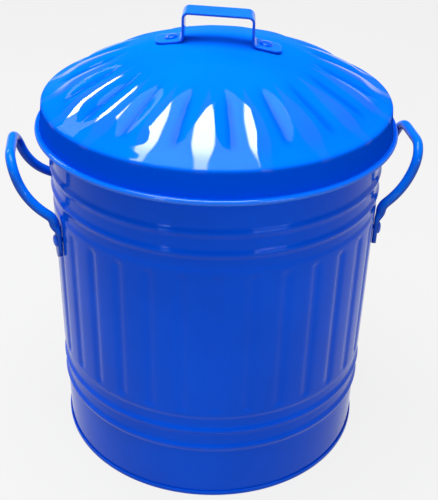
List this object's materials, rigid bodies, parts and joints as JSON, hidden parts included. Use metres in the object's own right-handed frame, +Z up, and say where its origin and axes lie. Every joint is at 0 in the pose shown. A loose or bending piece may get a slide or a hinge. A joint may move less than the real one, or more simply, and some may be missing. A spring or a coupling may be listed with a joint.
{
  "type": "trash can",
  "caption": "Round painted sheet-steel household bin with a fluted wall, riveted rod side handles and a domed, ribbed lift-off lid with a strap handle.",
  "frame": {"origin": "on the floor at the middle of the bin's foot ring", "axes": "+Z up along the bin's axis, +X through the right-hand side handle, -Y towards the front"},
  "size_m": [0.4302, 0.37, 0.4768],
  "materials": {
    "wall_paint": "gloss",
    "lid_paint": "gloss",
    "handle_paint": "gloss",
    "rivet_paint": "gloss",
    "bare_steel": "satin"
  },
  "bodies": {
    "bin": {"body_shell": "wall_paint", "rim_wire": "bare_steel", "base_pan": "wall_paint", "side_handle_left": "handle_paint", "side_handle_right": "handle_paint", "handle_rivet_right_front": "rivet_paint", "handle_rivet_right_back": "rivet_paint", "handle_rivet_left_front": "rivet_paint", "handle_rivet_left_back": "rivet_paint", "handle_washer_right_front": "bare_steel", "handle_washer_right_back": "bare_steel", "handle_washer_left_front": "bare_steel", "handle_washer_left_back": "bare_steel"},
    "lid": {"lid_shell": "lid_paint", "lid_edge_wire": "bare_steel", "lid_handle": "handle_paint", "lid_rivet_left": "rivet_paint", "lid_rivet_right": "rivet_paint", "lid_washer_left": "bare_steel", "lid_washer_right": "bare_steel"}
  },
  "joints": [
    {"name": "lid_lift", "type": "slide", "parent": "bin", "child": "lid", "axis": [0, 0, 1], "range_m": [0, 0.15]}
  ]
}
